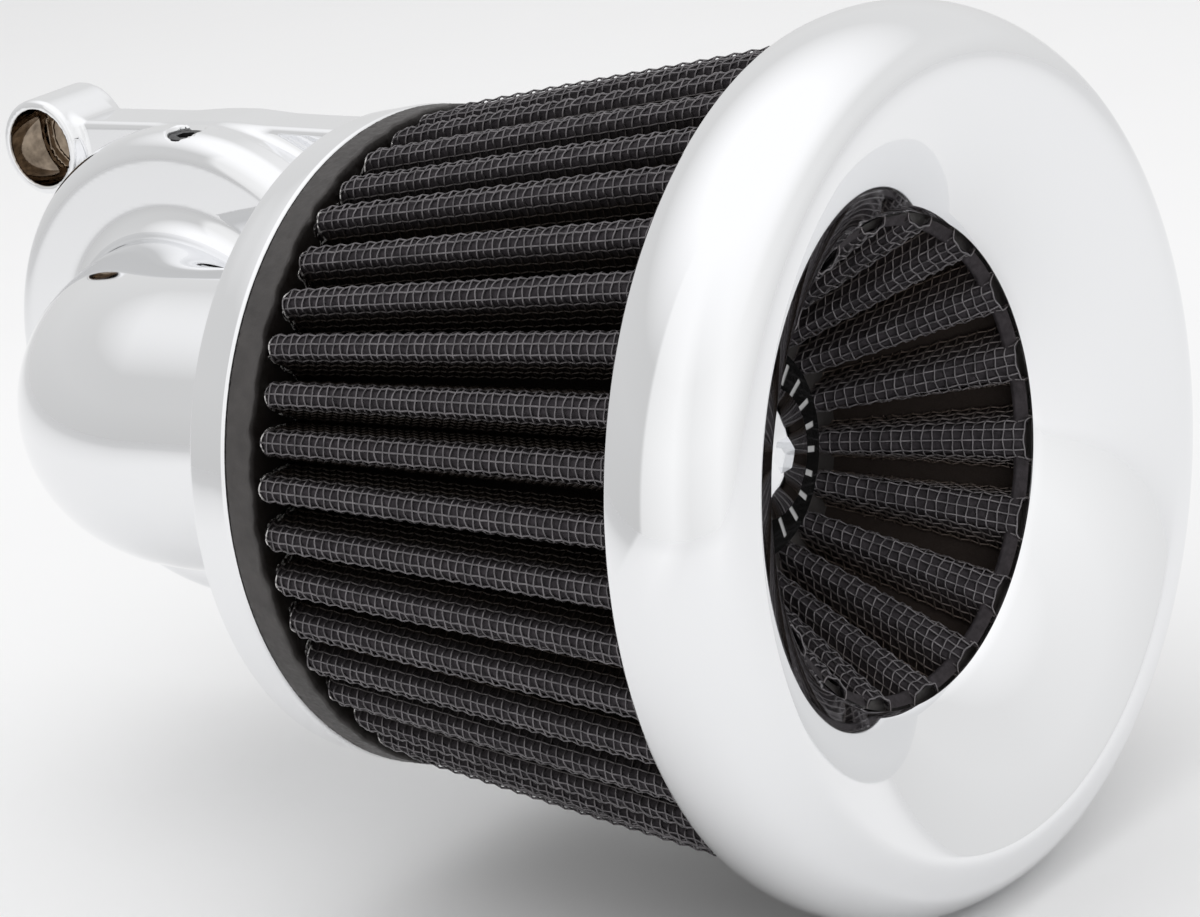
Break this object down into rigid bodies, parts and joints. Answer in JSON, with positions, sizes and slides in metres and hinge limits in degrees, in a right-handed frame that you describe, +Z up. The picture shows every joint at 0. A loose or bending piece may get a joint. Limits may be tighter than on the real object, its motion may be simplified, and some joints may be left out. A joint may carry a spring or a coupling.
{
  "type": "motorcycle air filter",
  "caption": "Chrome trumpet air filter on a ninety degree elbow, with a pleated mesh element open to the front as well",
  "frame": {"origin": "centre of the throttle face of the elbow, where it bolts to the engine", "axes": "+Y into the engine along the throttle bore, +X along the filter towards its open mouth, +Z up"},
  "size_m": [0.2757, 0.1694, 0.1694],
  "materials": {
    "polished_head": "polished",
    "bell_chrome": "polished",
    "elbow_chrome": "polished",
    "seal_rubber": "matte",
    "cap_urethane": "matte",
    "coated_wire": "satin",
    "filter_cotton": "matte",
    "hub_gloss_black": "gloss",
    "bright_steel": "satin",
    "dark_screws": "satin",
    "gasket_sheet": "matte",
    "machined_alloy": "satin"
  },
  "bodies": {
    "elbow": {"elbow_casting": "elbow_chrome", "throttle_adapter": "machined_alloy", "adapter_o_ring": "seal_rubber", "throttle_gasket": "gasket_sheet", "breather_o_rings": "seal_rubber", "elbow_set_screws": "dark_screws", "outlet_gasket": "gasket_sheet", "filter_mount_ring": "elbow_chrome", "rod_spider": "bright_steel", "spider_screws": "dark_screws", "spacer_rod": "bright_steel"},
    "filter_element": {"front_end_cap": "cap_urethane", "outer_wire_screen": "coated_wire", "outer_pleated_media": "filter_cotton", "outer_support_screen": "coated_wire", "inner_wire_screen": "coated_wire", "inner_pleated_media": "filter_cotton", "inner_support_screen": "coated_wire", "hub_plate": "hub_gloss_black", "hub_end_cap": "cap_urethane", "base_end_cap": "cap_urethane"},
    "bell": {"bell_trumpet": "bell_chrome", "trumpet_o_ring": "seal_rubber"},
    "bolt": {"centre_bolt": "polished_head", "bolt_washer": "polished_head"}
  },
  "joints": [
    {"name": "element_removal", "type": "slide", "parent": "elbow", "child": "filter_element", "axis": [1, 0, 0], "range_m": [0, 0.1]},
    {"name": "bell_removal", "type": "slide", "parent": "filter_element", "child": "bell", "axis": [1, 0, 0], "range_m": [0, 0.05]},
    {"name": "bolt_removal", "type": "slide", "parent": "filter_element", "child": "bolt", "axis": [1, 0, 0], "range_m": [0, 0.08]}
  ]
}
